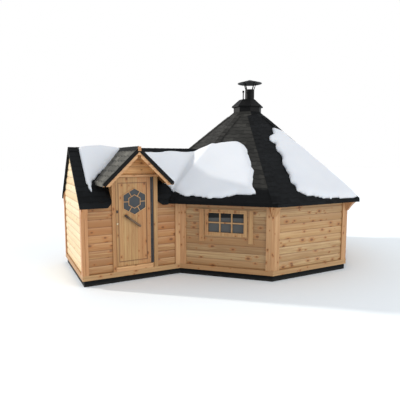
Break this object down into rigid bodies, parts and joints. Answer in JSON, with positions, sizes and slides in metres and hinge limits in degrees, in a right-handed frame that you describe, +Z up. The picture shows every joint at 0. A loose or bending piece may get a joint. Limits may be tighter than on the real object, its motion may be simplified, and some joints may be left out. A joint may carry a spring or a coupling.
{
  "type": "grill hut",
  "caption": "Octagonal log-board grill hut with a small gabled porch extension, a dormer over its hinged door, a barred window and a capped chimney.",
  "frame": {"origin": "middle of the octagonal cabin, on the ground", "axes": "+Z up, -X out along the porch extension, -Y towards the side with the door and window"},
  "size_m": [6.5552, 4.9122, 4.0878],
  "materials": {
    "pine_boards": "oiled pine boards",
    "pine_trim": "planed pine",
    "floor_wood": "sawn pine",
    "black_plinth": "black stain",
    "roof_shingle": "boards under black felt shingles",
    "glass": "clear",
    "black_metal": "matt black heat paint",
    "grey_metal": "dark grey",
    "stick": "natural stick",
    "dark_iron": "dark paint"
  },
  "bodies": {
    "hut": {"back_left_wall": "pine_boards", "back_right_wall": "pine_boards", "back_wall": "pine_boards", "cabin_base_boards": "pine_trim", "cabin_floor": "floor_wood", "cabin_plinth": "black_plinth", "cabin_posts": "pine_trim", "cap_stays": "black_metal", "chimney_cap": "black_metal", "chimney_pipe": "black_metal", "collar_box": "black_metal", "collar_hat": "black_metal", "damper_rod": "black_metal", "door_header": "pine_trim", "door_jambs": "pine_trim", "door_sill_board": "pine_trim", "door_threshold": "pine_trim", "dormer_barge_boards": "pine_trim", "dormer_boards": "pine_boards", "dormer_cheeks": "pine_boards", "dormer_ridge_beam": "pine_trim", "dormer_roof_left": "roof_shingle", "dormer_roof_right": "roof_shingle", "eave_brackets": "pine_trim", "floor_bearers": "floor_wood", "front_right_wall": "pine_boards", "front_wall": "pine_boards", "hinge_on_jamb": "grey_metal", "porch_back_wall": "pine_boards", "porch_base_boards": "pine_trim", "porch_floor": "floor_wood", "porch_front_wall_left": "pine_boards", "porch_front_wall_right": "pine_boards", "porch_gable_wall": "pine_boards", "porch_plinth": "black_plinth", "porch_posts": "pine_trim", "porch_roof_back": "roof_shingle", "porch_roof_front": "roof_shingle", "right_wall": "pine_boards", "roof_panel_back": "roof_shingle", "roof_panel_back_left": "roof_shingle", "roof_panel_back_right": "roof_shingle", "roof_panel_front": "roof_shingle", "roof_panel_front_right": "roof_shingle", "roof_panel_over_porch": "roof_shingle", "roof_panel_over_window": "roof_shingle", "roof_panel_right": "roof_shingle", "window_frame": "pine_trim", "window_glass": "glass", "window_side_boards": "pine_trim", "window_wall": "pine_boards"},
    "door": {"door_leaf": "pine_trim", "door_glass": "glass", "door_pane_bars": "pine_trim", "door_handle": "stick", "door_catch_and_lock": "dark_iron", "hinge_on_leaf": "grey_metal"}
  },
  "joints": [
    {"name": "door_hinge", "type": "hinge", "parent": "hut", "child": "door", "pos_m": [-2.778, -0.968, 1.1], "axis": [0, 0, 1], "range_deg": [0, 90]}
  ]
}
